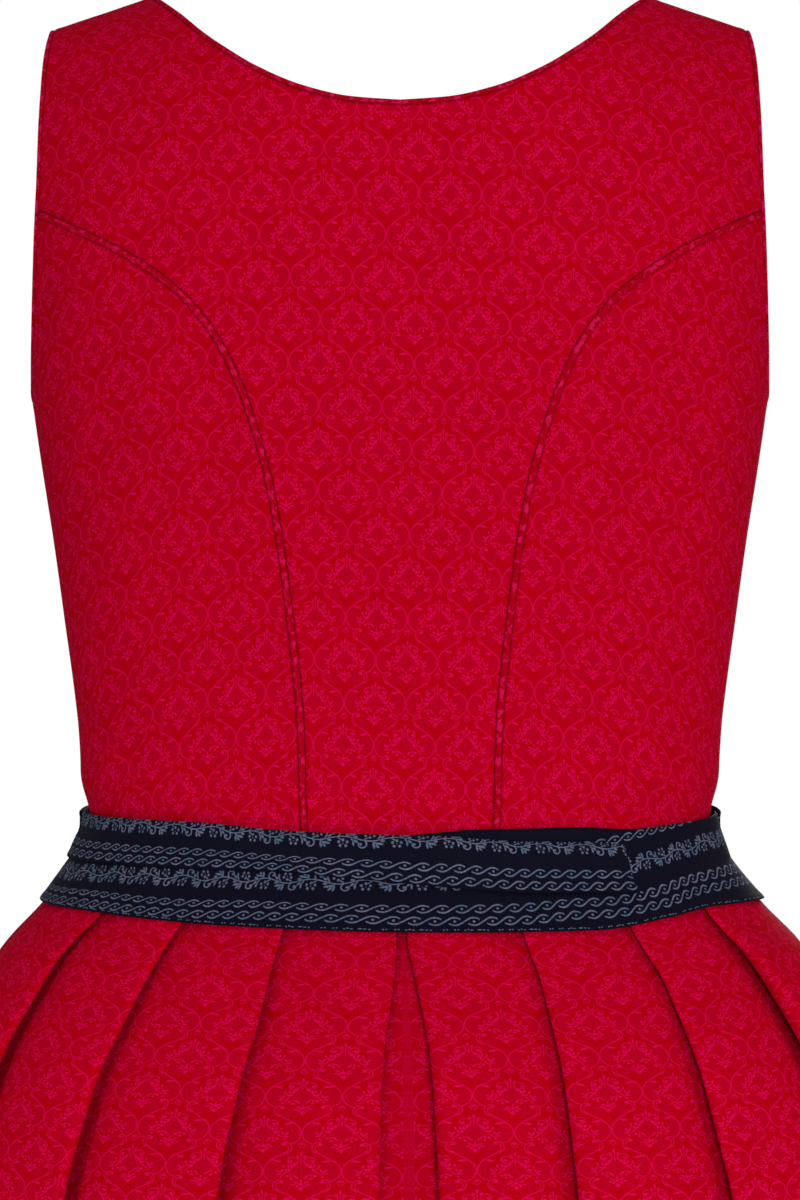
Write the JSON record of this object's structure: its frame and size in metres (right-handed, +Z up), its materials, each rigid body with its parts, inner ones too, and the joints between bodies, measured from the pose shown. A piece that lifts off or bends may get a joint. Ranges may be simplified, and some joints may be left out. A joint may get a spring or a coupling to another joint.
{
  "type": "dirndl dress with apron",
  "caption": "Sleeveless fitted dirndl in its worn, hollow form: piped princess-seam bodice, scoop neck, pleated flared skirt and a navy printed apron with ties lapped at the back.",
  "frame": {"origin": "between the two shoulder straps, level with their tops, where the wearer's shoulders hold the dress", "axes": "+Z up along the body, the front faces -Y and the back +Y, +X to the wearer's left"},
  "size_m": [0.6448, 0.5336, 1.0598],
  "materials": {
    "red_damask_cotton": "matte printed cotton, tone-on-tone ogee pattern",
    "red_piping": "matte self-fabric piping",
    "navy_print_cotton": "matte navy cotton with grey-blue printed border rows",
    "covered_button": "matte cloth-covered button"
  },
  "bodies": {
    "root": {"back_center": "red_damask_cotton", "side_back_left": "red_damask_cotton", "side_back_right": "red_damask_cotton", "side_front_left": "red_damask_cotton", "side_front_right": "red_damask_cotton", "center_front_left": "red_damask_cotton", "center_front_right": "red_damask_cotton", "skirt_back": "red_damask_cotton", "skirt_front": "red_damask_cotton", "piping_back_left": "red_piping", "piping_back_right": "red_piping", "piping_front_left": "red_piping", "piping_front_right": "red_piping", "neck_piping": "red_piping", "armhole_piping_left": "red_piping", "armhole_piping_right": "red_piping", "apron_waistband": "navy_print_cotton", "apron_panel": "navy_print_cotton", "apron_tie_over": "navy_print_cotton", "apron_tie_under": "navy_print_cotton", "button_1": "covered_button", "button_2": "covered_button", "button_3": "covered_button", "button_4": "covered_button", "button_5": "covered_button", "button_6": "covered_button", "button_7": "covered_button"}
  },
  "joints": []
}
